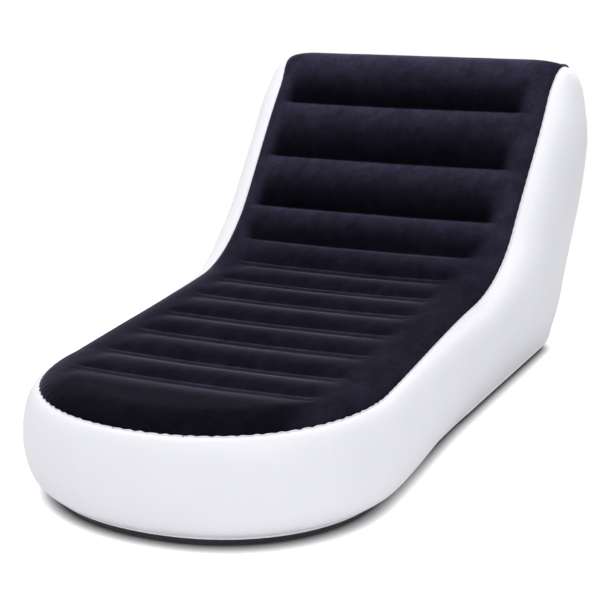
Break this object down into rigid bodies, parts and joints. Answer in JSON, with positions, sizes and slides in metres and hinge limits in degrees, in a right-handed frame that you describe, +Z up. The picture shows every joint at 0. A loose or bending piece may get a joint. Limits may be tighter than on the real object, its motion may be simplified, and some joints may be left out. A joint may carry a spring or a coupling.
{
  "type": "inflatable chaise lounge",
  "caption": "Inflatable chaise lounge: a flocked, cross-channelled seat and reclined back over a white side wall, with a dark base and a screw-out air valve low on the back.",
  "frame": {"origin": "on the floor, under the middle of the object's box", "axes": "+X across the lounge to the sitter's left, -Y towards the foot end, +Y towards the back, +Z up"},
  "size_m": [0.9162, 1.6602, 0.78],
  "materials": {
    "dark_flock": "short flock on vinyl, nearly black with a violet cast, matt",
    "white_vinyl": "soft white vinyl sheet, satin",
    "dark_vinyl": "near-black vinyl sheet, fine embossed grain",
    "clear_vinyl": "plain translucent vinyl strip",
    "valve_plastic": "moulded plastic, satin",
    "soft_plastic": "soft moulded plastic"
  },
  "bodies": {
    "shell": {"top_sheet": "dark_flock", "side_wall": "white_vinyl", "bottom_sheet": "dark_vinyl", "back_sheet": "dark_vinyl", "seat_beam_1": "clear_vinyl", "seat_beam_2": "clear_vinyl", "seat_beam_3": "clear_vinyl", "seat_beam_4": "clear_vinyl", "seat_beam_5": "clear_vinyl", "seat_beam_6": "clear_vinyl", "bend_beam": "clear_vinyl", "back_beam_1": "clear_vinyl", "back_beam_2": "clear_vinyl", "back_beam_3": "clear_vinyl", "back_beam_4": "clear_vinyl", "valve_base": "valve_plastic"},
    "leash": {"insert_leash": "soft_plastic"},
    "insert": {"valve_insert": "valve_plastic", "cap_strap": "soft_plastic"},
    "flap": {"valve_flap": "soft_plastic"},
    "cap": {"valve_cap": "valve_plastic"}
  },
  "joints": [
    {"name": "insert_turn", "type": "hinge", "parent": "shell", "child": "leash", "pos_m": [0, 0.8222, 0.2047], "axis": [0, 1, 0], "range_deg": [0, 720]},
    {"name": "insert_lift", "type": "slide", "parent": "leash", "child": "insert", "axis": [0, 1, 0], "range_m": [0, 0.008]},
    {"name": "flap_swing", "type": "hinge", "parent": "insert", "child": "flap", "pos_m": [0, 0.8121, 0.21265], "axis": [-1, 0, 0], "range_deg": [0, 70]},
    {"name": "cap_flip", "type": "hinge", "parent": "insert", "child": "cap", "pos_m": [0, 0.83, 0.21705], "axis": [1, 0, 0], "range_deg": [0, 120]}
  ],
  "couplings": [
    {"joint": "insert_lift", "follows": "insert_turn", "m_per_rad": 0.00063662}
  ]
}
